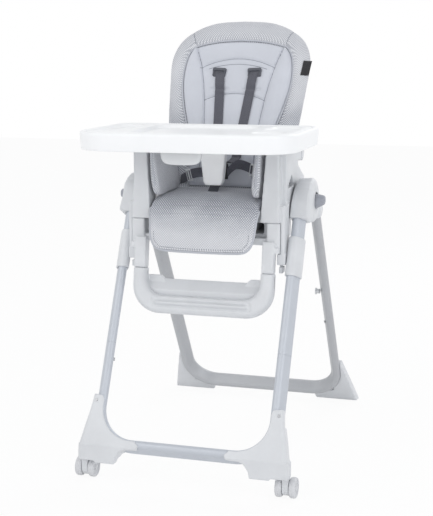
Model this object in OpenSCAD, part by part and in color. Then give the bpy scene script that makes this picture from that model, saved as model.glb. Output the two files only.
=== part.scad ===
// Folding baby high chair: an A-frame of oval tube on two hubs, with a padded seat
// that slides down the front legs, a reclining back, a leg rest, a footrest and a tray.
// +Z up, the child faces -Y, the origin is on the floor under the middle of the chair.

/* [Frame] */
// Height of the hub pivot above the floor
hub_z = 636; // [630:1:642]
// Lean of the front legs from upright, in degrees
front_lean = 26.2; // [25:0.1:27]
// Lean of the rear legs from upright, in degrees
rear_lean = 32.3; // [31:0.1:33]
// Long axis of the oval leg tube
tube_major = 39; // [36:1:40]
// Short axis of the oval leg tube
tube_minor = 21; // [20:0.5:24]
// Wall of the leg tube
tube_wall = 1.5; // [1.2:0.1:2]
// Middle of each front leg from the centre plane
front_leg_x = 214; // [212:1:216]
// Middle of each rear leg from the centre plane
rear_leg_x = 220; // [219:1:221]

/* [Seat] */
// Lean of the backrest from upright, in degrees
back_lean = 25; // [22:1:26]
// Height of the seat cushion's top
seat_top = 657; // [655:1:659]
// Greatest half width of the backrest
back_half_w = 187; // [180:1:188]
// Length of the backrest along its own plane
back_len = 441; // [420:1:450]

/* [Tray] */
// Width of the tray
tray_w = 510; // [490:2:514]
// Depth of the tray from front to back
tray_d = 341; // [330:1:343]
// Height of the tray's skirt
tray_h = 42; // [40:1:44]
// Radius of the tray's front corners
tray_r = 85; // [70:1:95]

/* [Casters] */
// Diameter of a caster wheel
wheel_d = 48; // [44:1:48]
// Width of one caster wheel
wheel_w = 16.5; // [14:0.5:17]
// Distance from the swivel axis to the wheel axle
caster_trail = 8; // [6:1:8]

/* [Hidden] */
$fn = 48;

gap = 0.3;                                   // room between pieces that are fixed together
hub_y = -66;                                 // hub pivot, front to back
front_reach = 43.1;                          // front tube's distance in front of the pivot
rear_reach = 54.1;                           // rear tube's distance behind the pivot
front_top = hub_z + front_reach * sin(front_lean);
rear_top = hub_z + rear_reach * sin(rear_lean);
bend_r = 90;                                 // bend radius of the front frame, to the tube's middle
rear_bend_r = 78;                            // bend radius of the rear frame
oval_turn = 63;                              // turn of the oval about the tube's own axis
front_bar = down_front(87);                  // to the front crossbar, along the leg
rear_bar = down_rear(33);                    // to the rear crossbar
front_seam = down_front(304);                // joint between upper and lower tubes
rear_seam = 437;
shell_in = 194;                              // hub housing, inner face
shell_out = 241;                             // hub housing, outer face
slot_in = 212;                               // slot for the rear arm
slot_out = 228;
slot_r = 23.8;
hub_r = 52;                                  // hub housing's round end
arm_low = 84;                                // lower end of the rear arm, along the leg
pin_r = 6;                                   // pivot pins
button_r = 16;
button_floor = 231.5;                        // bottom of the fold button's hole
swivel = [243, -379];                        // caster stem
foot_front = -406;                           // front feet: front wall and sole
foot_sole = 47.5;
screw_z = 533.7;                             // front foot screws, along the leg
plate_x = [174, 190];                        // seat side plate
arm_in = 165;                                // arm under the tray, inner face
arm_end = -8;                                // arm, rear end
foot_lean = 9;                               // the footrest leans a little forward
stem_x = 158.2;                              // footrest stems
stem_y = -18;
recline_y = -6;                              // recline pivot
recline_z = 655;
back_foot = -12;                             // lower end of the back cushion
leg_pin_y = -190;                            // leg rest pivot
leg_pin_z = 630;
flap_lean = 12.1;                            // the leg rest hangs a little forward
tray_front = -413;
tray_z = 777;
under_tray = tray_z + tray_h - 16 - gap;     // just below the tray's floor

plastic = [0.87, 0.88, 0.88];
white = [0.96, 0.96, 0.97];
silver = [0.72, 0.75, 0.79];
steel = [0.62, 0.63, 0.65];
grey = [0.62, 0.63, 0.66];
cloth = [0.74, 0.75, 0.78];
cloth_smooth = [0.82, 0.84, 0.88];
webbing = [0.3, 0.3, 0.33];
dark = [0.15, 0.15, 0.16];

// Distance along a leg from the top of its line down to a height above the floor
function down_front(z) = (front_top - z) / cos(front_lean);

function down_rear(z) = (rear_top - z) / cos(rear_lean);

// ---- outlines and helpers -------------------------------------------------------

// Oval tube section; grow adds to the outside all round
module oval(grow = 0, turn = 0) {
    r = tube_minor / 2 + grow;
    c = (tube_major - tube_minor) / 2;
    rotate(turn) {
        translate([c, 0]) circle(r);
        translate([-c, 0]) circle(r);
        square([2 * c, 2 * r], center = true);
    }
}

module oval_wall(turn = 0) {
    difference() {
        oval(0, turn);
        oval(-tube_wall, turn);
    }
}

// Rectangle with round corners, centred
module rounded(w, d, r) {
    square([w - 2 * r, d], center = true);
    square([w, d - 2 * r], center = true);
    for (i = [-1, 1], j = [-1, 1])
        translate([i * (w / 2 - r), j * (d / 2 - r)]) circle(r);
}

// Round-cornered block from one corner to the other
module block(a, b, r = 3) {
    translate([(a[0] + b[0]) / 2, (a[1] + b[1]) / 2, a[2]])
        linear_extrude(b[2] - a[2]) rounded(b[0] - a[0], b[1] - a[1], r);
}

// A profile in Y and Z, made solid from x0 to x1
module across(x0, x1) {
    translate([x0, 0, 0]) rotate([90, 0, 90]) linear_extrude(x1 - x0) children();
}

// A profile in X and Z, made solid from y0 to y1
module along(y0, y1) {
    translate([0, y1, 0]) rotate([90, 0, 0]) linear_extrude(y1 - y0) children();
}

// A shaft along X
module shaft(x0, x1, r) {
    translate([x0, 0, 0]) rotate([0, 90, 0]) cylinder(h = x1 - x0, r = r);
}

module side(s) {
    if (s > 0) children();
    else mirror([1, 0, 0]) children();
}

// The front legs' frame: pivot at the origin, leg running down -Z
module front_axes() {
    translate([0, hub_y, hub_z]) rotate([-front_lean, 0, 0]) children();
}

module rear_axes() {
    translate([0, hub_y, hub_z]) rotate([rear_lean, 0, 0]) children();
}

// The front legs' own plane
module front_plane() {
    front_axes() translate([0, -front_reach, 0]) children();
}

// The rear legs' own plane
module rear_plane() {
    rear_axes() translate([0, rear_reach, 0]) children();
}

// The footrest's frame, sliding along Z
module footrest_axes() {
    translate([0, -184, 546]) rotate([-foot_lean, 0, 0]) children();
}

// The backrest's frame: recline pivot at the origin, back panel rising along +Z
module back_axes() {
    translate([0, recline_y, recline_z]) rotate([-back_lean, 0, 0]) translate([0, -35, 0]) children();
}

// The leg rest's frame: pivot at the origin, panel hanging down -Z
module flap_axes() {
    translate([0, leg_pin_y, leg_pin_z]) rotate([-flap_lean, 0, 0]) children();
}

// U of tube: two legs up to z = -seam, round bends and a crossbar at z = -bar
module u_tube(leg_x, seam, bar, r, turn, grow = 0, hollow = true) {
    module section(t) {
        if (hollow) oval_wall(t);
        else oval(grow, t);
    }
    for (s = [-1, 1]) side(s) {
        translate([leg_x, 0, -bar + r]) linear_extrude(bar - r - seam) section(turn);
        translate([leg_x - r, 0, -bar + r]) rotate([90, 0, 0]) rotate([0, 0, -90])
            rotate_extrude(angle = 90, $fn = 96) translate([r, 0]) section(-turn);
    }
    translate([-leg_x + r, 0, -bar]) rotate([0, 90, 0])
        linear_extrude(2 * (leg_x - r)) section(turn);
}

module front_u(grow = 0, hollow = true) {
    u_tube(front_leg_x, front_seam, front_bar, bend_r, oval_turn, grow, hollow);
}

module rear_u(grow = 0, hollow = true) {
    u_tube(rear_leg_x, rear_seam, rear_bar, rear_bend_r, -oval_turn, grow, hollow);
}

// ---- front frame ----------------------------------------------------------------

module front_upper_tube(s) {
    color(silver) side(s) front_plane() translate([front_leg_x, 0, -front_seam + gap])
        linear_extrude(front_seam - 4) oval_wall(oval_turn);
}

// Lower U with a necked end that plugs into each upper tube
module front_lower_frame() {
    color(silver) front_plane() {
        front_u();
        for (s = [-1, 1]) side(s) translate([front_leg_x, 0, -front_seam - 20])
            linear_extrude(75) difference() {
                oval(-tube_wall, oval_turn);
                oval(-tube_wall - 1.4, oval_turn);
            }
    }
}

// Outline of a front foot seen square to the leg, heights above the floor
foot_edge = [[229.5, 190], [234, 156], [242, 125], [249, 92], [253, 62], [254, 40], [165, 40], [161, 60],
    [150, 73], [138, 78], [107, 79], [103, 88], [110, 93], [124, 110], [124, 167], [199, 168], [206.5, 187]];

module front_foot(s) {
    color(plastic) side(s) difference() {
        union() {
            front_plane() along(-21.5, 15) difference() {
                polygon([for (p = foot_edge) [p[0], -down_front(p[1])]]);
                translate([front_leg_x - bend_r, -front_bar + bend_r]) circle(bend_r - 11, $fn = 96);
            }
            // boss for the caster's stem
            block([206, foot_front + 2, 40], [swivel[0], swivel[1] + 10, 85], 4);
            translate([swivel[0], swivel[1], 40]) cylinder(h = 48, r = 11);
        }
        front_plane() front_u(gap, false);
        front_plane() translate([front_leg_x, 0, -front_seam]) linear_extrude(60) oval(gap, oval_turn);
        translate([0, foot_front - 100, 0]) cube([300, 200, foot_sole]);
        translate([swivel[0], swivel[1], 25]) cylinder(h = 27, r = 41.5);
        translate([swivel[0], swivel[1], 50]) cylinder(h = 31, r = 5.06);
        // open behind the tube above the crossbar
        front_plane() translate([100, 0, -645]) cube([133.5, 40, 225]);
        // the front wall stands upright, with its outer edge taken off
        translate([100, foot_front - 94, 0]) cube([200, 94, 200]);
        front_plane() translate([229.5, -21.5, -down_front(190)]) rotate([0, -9, 0]) rotate([0, 0, -48])
            translate([-4, -40, -120]) cube([20, 60, 150]);
        translate([253, foot_front, 0]) rotate([0, 0, -45]) translate([-3.5, -30, 0]) cube([20, 60, 101]);
        front_plane() translate([221, -9, -screw_z]) rotate([90, 0, 0]) cylinder(h = 20, r = 3.2);
    }
}

// Head of the spring button on the flat of a tube, t is the turn of its oval
module snap_button(t) {
    rotate(t) translate([0, tube_minor / 2 + gap, 0]) rotate([-90, 0, 0]) cylinder(h = 3.5, r = 4);
}

module front_snap_buttons() {
    color(steel) for (s = [-1, 1]) side(s) front_plane()
        translate([front_leg_x, 0, -front_seam - 38]) snap_button(oval_turn);
}

module foot_screws() {
    color(steel) for (s = [-1, 1]) side(s) front_plane()
        translate([221, -20.4, -screw_z]) rotate([90, 0, 0]) cylinder(h = 2, r = 3);
}

// Round end about the pivot, with the socket of the front tube beside it
module hub_profile(inset = 0) {
    circle(hub_r - inset);
    translate([-3.5, 7.2]) circle(hub_r - inset);
    polygon([[-65 + inset, -63.5 + inset], [-65 + inset, 12], [-50 + inset, 36 - inset], [-20, 44 - inset],
        [-20, -63.5 + inset]]);
}

// Two cheeks with a slot between them; the slot is closed where the rear arm never passes
module hub_housing(s) {
    color(plastic) side(s) front_axes() difference() {
        union() {
            across(shell_in, slot_in) hub_profile();
            across(slot_out, shell_out - 4) hub_profile();
            across(shell_out - 4, shell_out) hub_profile(3);
            across(slot_in - 1, slot_out + 1) intersection() {
                hub_profile();
                rotate(45 + front_lean) translate([-150, 0]) square([300, 150]);
            }
        }
        translate([front_leg_x, -front_reach, -70]) linear_extrude(70) oval(gap, oval_turn);
        shaft(201, button_floor + 1, pin_r + 0.03);
        shaft(button_floor, shell_out + 1, button_r + 0.06);
        shaft(slot_in, slot_out, slot_r);
    }
}

module hub_pins() {
    color(steel) for (s = [-1, 1]) side(s) translate([0, hub_y, hub_z]) shaft(201, button_floor - 0.5, pin_r);
}

// Round button with a flat taper to its rim
module fold_button(s) {
    color(grey) side(s) translate([0, hub_y, hub_z]) {
        shaft(button_floor + 5.5, 245, button_r);
        translate([245, 0, 0]) rotate([0, 90, 0]) cylinder(h = 17, r1 = button_r, r2 = button_r - 5.5);
    }
}

// ---- casters --------------------------------------------------------------------

body_half = 7.5;                             // caster body between its wheels

module caster_axes(s) {
    side(s) translate([swivel[0], swivel[1] + caster_trail, wheel_d / 2]) children();
}

module caster_body(s) {
    color(plastic) caster_axes(s) difference() {
        union() {
            shaft(-body_half, body_half, 19);
            translate([-body_half, -18, 0]) cube([2 * body_half, 18, 24]);
            translate([0, -caster_trail, 12]) cylinder(h = 15, r = 10);
            translate([0, -caster_trail, 20]) cylinder(h = 36, r = 5);
        }
        shaft(-body_half - 1, body_half + 1, 3);
        for (i = [-1, 1]) side(i) shaft(body_half + 0.2, 26, wheel_d / 2 + 0.6);
    }
}

module caster_axle(s) {
    color(steel) caster_axes(s) shaft(-21, 21, 3);
}

// i = 1 is the wheel away from the chair's middle
module caster_wheel(s, i) {
    face = body_half + 0.6;
    color(plastic) caster_axes(s) side(i) difference() {
        union() {
            shaft(face, face + wheel_w - 3, wheel_d / 2);
            translate([face + wheel_w - 3, 0, 0]) rotate([0, 90, 0])
                cylinder(h = 3, r1 = wheel_d / 2, r2 = wheel_d / 2 - 3);
        }
        shaft(3, 21.2, 3.06);
    }
}

// ---- rear frame -----------------------------------------------------------------

module hub_arm(s) {
    color(plastic) side(s) rear_axes() difference() {
        union() {
            across(slot_in + 0.5, slot_out - 0.5) {
                circle(slot_r - 1.5);
                polygon([[4.7, 21.7], [68, -40], [74, -60], [74, -arm_low], [34, -arm_low], [-9.4, -20.2]]);
            }
            translate([rear_leg_x, rear_reach, -arm_low]) linear_extrude(arm_low - 45) rounded(36, 44, 12);
        }
        translate([rear_leg_x, rear_reach, -120]) linear_extrude(70) oval(gap, -oval_turn);
        shaft(slot_in - 1, slot_out + 1, pin_r + 0.06);
    }
}

module rear_upper_tube(s) {
    color(silver) side(s) rear_plane() translate([rear_leg_x, 0, -rear_seam + gap])
        linear_extrude(rear_seam - 51) oval_wall(-oval_turn);
}

module rear_lower_frame() {
    color(silver) rear_plane() {
        rear_u();
        for (s = [-1, 1]) side(s) translate([rear_leg_x, 0, -rear_seam - 20])
            linear_extrude(75) difference() {
                oval(-tube_wall, -oval_turn);
                oval(-tube_wall - 1.4, -oval_turn);
            }
    }
}

// Outline of a rear foot seen square to the leg, heights above the floor
rear_foot_edge = [[226, 127], [239, 127], [258, 60], [268, 24], [277, -12], [166, -12], [152, 11],
    [152, 33], [208, 33]];

module rear_foot(s) {
    color(plastic) side(s) difference() {
        rear_plane() along(-9, 12) difference() {
            polygon([for (p = rear_foot_edge) [p[0], -down_rear(p[1])]]);
            translate([rear_leg_x - rear_bend_r, -rear_bar + rear_bend_r]) circle(rear_bend_r + 2, $fn = 96);
        }
        rear_plane() rear_u(gap, false);
        translate([0, 250, -100]) cube([300, 200, 100]);
        rear_plane() translate([236, 13, -714]) rotate([90, 0, 0]) cylinder(h = 6, r = 3.2);
    }
}

module rear_foot_screws() {
    color(steel) for (s = [-1, 1]) side(s) rear_plane()
        translate([236, 11, -714]) rotate([90, 0, 0]) cylinder(h = 3.8, r = 3);
}

module rear_snap_buttons() {
    color(steel) for (s = [-1, 1]) side(s) rear_plane()
        translate([rear_leg_x, 0, -rear_seam - 30]) snap_button(180 - oval_turn);
}

// Pegs that hold the tray on the rear legs when it is stored
module tray_pegs() {
    color(plastic) for (s = [-1, 1]) side(s) rear_plane() translate([rear_leg_x - 27, 0, -357]) {
        rotate([0, 90, 0]) cylinder(h = 12, r = 6.5);
        rotate([0, 90, 0]) cylinder(h = 3, r = 9);
    }
}

// ---- seat carrier ---------------------------------------------------------------

module slider_sleeve(s) {
    color(plastic) side(s) difference() {
        front_plane() translate([front_leg_x, 0, -204]) linear_extrude(95) oval(3.8, oval_turn);
        front_plane() translate([front_leg_x, 0, -220]) linear_extrude(130) oval(gap, oval_turn);
    }
}

module height_release(s) {
    color(grey) side(s) {
        block([179.4, -196, 480], [188.2, -168, 494], 3);
        translate([180.2, -189.8, 490]) cube([4.6, 14.6, 28]);
    }
}

// Side frame: front post, side plate to the recline pivot, arm under the tray, bracket to the sleeve
module seat_side(s) {
    color(plastic) side(s) difference() {
        union() {
            // post, narrower towards the top
            intersection() {
                along(-208, -154) polygon([[136.3, 600], [182, 600], [177, 770], [147, 770]]);
                across(136, 183) polygon([[-208, 600], [-154, 600], [-154, 770], [-193, 770]]);
            }
            across(plate_x[0], plate_x[1]) {
                polygon([[-170, 600], [-30, 600], [recline_y + 12, recline_z - 16], [29, 687],
                    [-2, 702], [-40, 722], [-58, 756], [-170, 770]]);
                translate([recline_y, recline_z]) circle(20);
                translate([29 - 10, 687 - 10]) circle(10);
            }
            across(arm_in, plate_x[1]) polygon([[-190, 756], [-195, 766], [-190, 776], [arm_end - gap, 776],
                [arm_end - gap, 729], [-58, 735], [-120, 752]]);
            block([145, -196, 758], [plate_x[1], -150, 775.5], 5);
            block([183.6, -200, 500], [193.2, -150, 640], 3);
            block([175, -200, 500], [195.4, -150, 525.8], 3);
        }
        across(plate_x[0] - 1, plate_x[1] + 1) polygon([[-152, 674], [-84, 676], [-111, 704]]);
        translate([0, recline_y, recline_z]) shaft(160, 186, pin_r);
        // guide for the height release's stem
        translate([180, -190, 499]) cube([5, 15, 25]);
        // hollow inside of the post
        translate([151, -190, 599]) cube([19, 28, 150]);
    }
}

// Half-round ends of the arms
module arm_caps() {
    color(grey) for (s = [-1, 1]) side(s) across(arm_in, plate_x[1] + 2) difference() {
        translate([arm_end, 752.5]) circle(24.5);
        translate([arm_end - 30, 720]) square([30, 70]);
    }
}

// Pan under the cushion, front beam, posts' feet and footrest sockets
module seat_base() {
    color(plastic) difference() {
        union() {
            block([-136, -180, 610], [136, -36, 626], 8);
            block([-136, -180, 560], [136, -168, 626], 4);
            block([-152, -200, 545], [152, -170, 562], 4);
            for (s = [-1, 1]) side(s) {
                block([112, -180, 545.5], [173.5, -40, 599.7], 5);
                block([126, -180, 590], [136, -36, 626], 2);
                // foot of the post, with the collar and the footrest's socket below it
                block([151, -206, 531], [183.3, -171, 599.7], 4);
                footrest_axes() along(-30, -6) translate([151, -21]) square([32.3, 14]);
                footrest_axes() along(-32, -4) translate([144, -69]) square([28.3, 75]);
                translate([96, leg_pin_y - 6, leg_pin_z - 20]) cube([12, 12, 20]);
                translate([96, leg_pin_y - 6, leg_pin_z - 20]) cube([12, 17, 12]);
                translate([0, leg_pin_y, leg_pin_z]) shaft(96, 108, 6);
            }
        }
        for (s = [-1, 1]) side(s) {
            footrest_axes() translate([stem_x, stem_y, -72]) linear_extrude(68)
                square([22.4, 22.4], center = true);
            // pocket beside the front beam
            translate([116, -181, 570]) cube([23, 125, 25]);
        }
        translate([0, leg_pin_y, leg_pin_z]) shaft(-120, 120, 4);
        translate([-18, -127, 600]) cube([36, 9, 30]);
    }
}

module footrest() {
    color(plastic) footrest_axes() {
        // U-shaped hoop
        along(-38, -6) difference() {
            translate([0, -83.5]) rounded(348, 187, 67);
            translate([0, -76]) rounded(283, 114, 44);
            translate([-200, -69.4]) square([400, 100]);
        }
        // stems that slide in the sockets
        for (s = [-1, 1]) side(s) translate([stem_x, stem_y, -71]) linear_extrude(65)
            square([22, 22], center = true);
        // sloping face behind the front bar, a little higher at its ends
        across(-142, 142) polygon([[-30, -133], [-30, -150], [-12, -150], [10, -96], [10, -94], [0, -94]]);
        for (s = [-1, 1]) side(s) along(-6, 10)
            polygon([[100, -98], [112, -85.5], [142, -85.5], [142, -140], [100, -140]]);
        // step
        across(-142, 142) polygon([[-14, -148], [88, -130], [92, -126], [88, -121], [-2, -126]]);
        // rib along the front
        translate([-115, -36, -149.5]) rotate([0, 90, 0]) cylinder(h = 230, r = 6);
    }
}

module leg_rest_panel() {
    color(plastic) flap_axes() difference() {
        union() {
            along(-15, -10) translate([0, -48]) rounded(232, 104, 24);
            for (s = [-1, 1]) side(s) {
                shaft(109, 116, 6.5);
                translate([109, -14, -6]) cube([7, 14, 12]);
            }
        }
        shaft(-120, 120, 4.06);
    }
}

module leg_rest_pin() {
    color(steel) translate([0, leg_pin_y, leg_pin_z]) shaft(-119, 119, 4);
}

module leg_rest_pad() {
    color(cloth) flap_axes() along(-40, -15.3) translate([0, -45.5]) rounded(260, 109, 30);
}

// ---- soft goods on the seat ---------------------------------------------------------

module seat_pad() {
    color(cloth) difference() {
        block([-134, -183, 626.5], [134, -46, seat_top], 12);
        translate([-16, -128, 620]) cube([32, 12, 50]);
    }
}

module side_pad(s) {
    color(cloth) side(s) across(118, 136.5)
        polygon([[-184, 658], [-50, 658], [-44, 672], [-44, 716], [-100, 752], [-200, 764], [-206, 756],
            [-204, 682]]);
}

module crotch_strap() {
    color(webbing) across(-12.5, 12.5)
        polygon([[-124, 612], [-121, 612], [-121, 655], [-89, 684], [-93.3, 684], [-124, 656.2]]);
}

module waist_straps() {
    color(webbing) for (s = [-1, 1]) side(s) {
        dx = 86;
        dy = 56;
        translate([27, -96, 690]) rotate([0, 0, atan2(dy, dx)]) translate([0, -1.5, -12.5])
            cube([norm([dx, dy]), 3, 25]);
    }
}

module buckle() {
    color(dark) difference() {
        block([-26, -97, 684.2], [26, -82, 732], 6);
        translate([0, -91, 708]) rotate([90, 0, 0]) cylinder(h = 10, r = 9.06);
    }
}

module buckle_button() {
    color(dark) translate([0, -94.2, 708]) rotate([90, 0, 0]) cylinder(h = 5, r = 9);
}

// ---- backrest -------------------------------------------------------------------

// Outline of the back: straight sides that widen upwards to a round head
module back_outline(grow = 0) {
    w = back_half_w + grow;
    foot = 150 + grow;
    top = back_len + grow;
    r = 120 + grow;
    translate([0, top - r - 30]) rounded(2 * w, 2 * r + 60, r);
    polygon([[-foot, back_foot], [foot, back_foot], [w, 290], [w, 330], [-w, 330], [-w, 290]]);
}

module insert_outline(grow = 0) {
    intersection() {
        translate([0, 205]) rounded(284 + 2 * grow, 366 + 2 * grow, 90 + grow);
        translate([-150, back_foot + 4 - grow]) square([300, 400]);
    }
}

module backrest_shell() {
    color(plastic) back_axes() difference() {
        union() {
            along(45.5, 50) back_outline(-22);
            along(45.5, 50) translate([-152, -8]) square([304, 56]);
            along(38, 50) difference() {
                back_outline(-22);
                back_outline(-28);
            }
            for (s = [-1, 1]) side(s) across(146, 158) {
                translate([35, 0]) circle(17);
                polygon([[18, 0], [50, -8], [50, 40], [40, 40]]);
            }
            // housing for the recline handle
            along(49, 66) translate([0, 300]) rounded(120, 90, 20);
        }
        translate([0, 35, 0]) shaft(-200, 200, pin_r + 0.06);
        along(56, 70) translate([0, 300]) rounded(96, 62, 12);
        for (s = [-1, 1]) side(s) for (h = [222, 262]) translate([32, 30, h]) cube([34, 25, 6]);
    }
}

module recline_pins() {
    color(steel) for (s = [-1, 1]) side(s) translate([0, recline_y, recline_z]) shaft(144, 186, pin_r);
}

module recline_handle() {
    color(grey) back_axes() difference() {
        along(56.5, 64) translate([0, 298]) rounded(92, 52, 10);
        along(60, 66) translate([0, 304]) rounded(64, 22, 8);
    }
}

module back_pad() {
    color(cloth) back_axes() difference() {
        union() {
            along(2, 22) back_outline();
            along(21, 37.5) back_outline(-16);
        }
        for (s = [-1, 1]) side(s) translate([140, 17, -20]) cube([60, 33, 62]);
        // bed of the insert cushion
        along(0, 12) insert_outline(1);
    }
}

module insert_pad() {
    color(cloth_smooth) back_axes() along(0, 11.7) insert_outline();
}

module shoulder_straps() {
    color(webbing) back_axes() for (s = [-1, 1]) side(s) {
        hull() {
            translate([31, -3.2, 276]) cube([27, 2.6, 8]);
            translate([12, -3.2, 60]) cube([27, 2.6, 8]);
        }
    }
}

module strap_loops() {
    color(webbing) back_axes() for (s = [-1, 1]) side(s) difference() {
        translate([27, -6.5, 276]) cube([35, 6.2, 18]);
        translate([30, -3.6, 270]) cube([29, 3.2, 30]);
    }
}

// ---- tray -----------------------------------------------------------------------

module tray_outline(grow = 0) {
    w = tray_w / 2 + grow;
    d = tray_d / 2 + grow;
    r = tray_r + grow;
    rb = 45 + grow;
    for (s = [-1, 1]) side(s) {
        translate([w - r, -d + r]) circle(r, $fn = 96);
        translate([w - rb, d - rb]) circle(rb, $fn = 96);
    }
    square([2 * (w - r), 2 * d], center = true);
    translate([0, d - rb]) square([2 * (w - rb), 2 * rb], center = true);
    translate([-w, -d + r]) square([2 * w, 2 * d - r - rb]);
}

module tray_place() {
    translate([0, tray_front + tray_d / 2, tray_z]) children();
}

module tray() {
    color(white) tray_place() difference() {
        linear_extrude(tray_h) tray_outline();
        translate([0, 0, -1]) linear_extrude(tray_h - 16 + 1) tray_outline(-4);
        translate([0, 0, tray_h - 13]) linear_extrude(20) tray_outline(-16);
    }
}

// Liner with the food area, a side pocket and the cup well
module tray_insert() {
    color(white) tray_place() difference() {
        translate([0, 0, tray_h - 12.7]) linear_extrude(11.5) tray_outline(-16.4);
        translate([-10, 6, tray_h - 9]) linear_extrude(20) rounded(262, 270, 40);
        translate([-198, 6, tray_h - 7]) linear_extrude(20) rounded(70, 230, 25);
        translate([186, -78, tray_h - 10]) cylinder(h = 20, r = 38);
        translate([184, 68, tray_h - 7]) linear_extrude(20) rounded(78, 130, 25);
    }
}

module crotch_post() {
    color(white) along(-138, -112) {
        polygon([[-24.6, 694], [24.6, 694], [31, 750], [31, under_tray], [-31, under_tray], [-31, 750]]);
        translate([0, 695.5]) rounded(50, 40, 16);
    }
}

module tray_release() {
    color(plastic) along(-384, -366) difference() {
        translate([0, 776]) rounded(94, 58, 20);
        translate([-60, under_tray]) square([120, 40]);
    }
}

front_upper_tube(-1);  // front_upper_tube_l
front_upper_tube(1);  // front_upper_tube_r
front_lower_frame();
front_foot(-1);  // front_foot_l
front_foot(1);  // front_foot_r
front_snap_buttons();
foot_screws();
hub_housing(-1);  // hub_housing_l
hub_housing(1);  // hub_housing_r
hub_pins();
fold_button(-1);  // fold_button_l
fold_button(1);  // fold_button_r
caster_body(-1);  // caster_body_l
caster_body(1);  // caster_body_r
caster_axle(-1);  // caster_axle_l
caster_axle(1);  // caster_axle_r
caster_wheel(-1, 1);  // caster_wheel_l_outer
caster_wheel(-1, -1);  // caster_wheel_l_inner
caster_wheel(1, 1);  // caster_wheel_r_outer
caster_wheel(1, -1);  // caster_wheel_r_inner
hub_arm(-1);  // hub_arm_l
hub_arm(1);  // hub_arm_r
rear_upper_tube(-1);  // rear_upper_tube_l
rear_upper_tube(1);  // rear_upper_tube_r
rear_lower_frame();
rear_foot(-1);  // rear_foot_l
rear_foot(1);  // rear_foot_r
rear_snap_buttons();
tray_pegs();
slider_sleeve(-1);  // slider_sleeve_l
slider_sleeve(1);  // slider_sleeve_r
height_release(-1);  // height_release_l
height_release(1);  // height_release_r
seat_base();
seat_side(-1);  // seat_side_l
seat_side(1);  // seat_side_r
footrest();
leg_rest_panel();
leg_rest_pin();
leg_rest_pad();
seat_pad();
side_pad(-1);  // side_pad_l
side_pad(1);  // side_pad_r
crotch_strap();
waist_straps();
buckle();
buckle_button();
backrest_shell();
recline_pins();
recline_handle();
back_pad();
insert_pad();
shoulder_straps();
strap_loops();
tray();
tray_insert();
crotch_post();
tray_release();
arm_caps();
rear_foot_screws();
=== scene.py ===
# Looks of the folding baby high chair: smooth moulded shells, padded upholstery, webbing,
# materials, light and camera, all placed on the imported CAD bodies.
import math
import bpy
import numpy as np
from mathutils import Matrix, Vector
from mathutils.bvhtree import BVHTree


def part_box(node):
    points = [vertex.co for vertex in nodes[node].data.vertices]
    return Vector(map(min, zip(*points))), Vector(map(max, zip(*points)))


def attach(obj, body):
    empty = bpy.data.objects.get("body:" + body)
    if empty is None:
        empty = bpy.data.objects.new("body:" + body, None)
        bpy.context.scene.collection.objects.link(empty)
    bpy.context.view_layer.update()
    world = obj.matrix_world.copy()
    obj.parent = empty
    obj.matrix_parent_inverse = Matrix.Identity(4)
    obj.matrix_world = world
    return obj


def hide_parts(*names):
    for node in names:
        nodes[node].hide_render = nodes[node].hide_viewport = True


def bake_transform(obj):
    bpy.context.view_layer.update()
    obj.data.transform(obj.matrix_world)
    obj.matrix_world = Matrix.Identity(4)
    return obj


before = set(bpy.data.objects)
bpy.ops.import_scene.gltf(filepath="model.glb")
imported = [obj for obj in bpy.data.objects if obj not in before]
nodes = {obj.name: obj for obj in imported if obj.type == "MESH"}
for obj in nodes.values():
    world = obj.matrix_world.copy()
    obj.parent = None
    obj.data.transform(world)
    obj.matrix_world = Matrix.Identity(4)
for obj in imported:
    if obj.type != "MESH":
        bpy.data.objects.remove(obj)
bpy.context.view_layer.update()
scene = bpy.context.scene
MM = 0.001
RAY_START = -600                             # mm in front of a cushion, where rays onto it begin

# ---- the CAD's own axes ---------------------------------------------------------

HUB = (0, -66, 636)
BACK_LEAN, FOOT_LEAN = 25, 9


def axes(origin, lean, shift=(0, 0, 0)):
    """Matrix in mm: a frame at origin, leaning by that many degrees about X, then shifted."""
    tilt = Matrix.Rotation(math.radians(lean), 4, "X")
    return Matrix.Translation(origin) @ tilt @ Matrix.Translation(shift)


BACK = axes((0, -6, 655), -BACK_LEAN, (0, -35, 0))
FOOT = axes((0, -184, 546), -FOOT_LEAN)
FLAT = Matrix.Identity(4)


def placed(points, matrix):
    """Points moved by a matrix."""
    m = np.array(matrix)
    return points @ m[:3, :3].T + m[:3, 3]


# ---- shapes from distance fields, in mm -----------------------------------------


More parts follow.
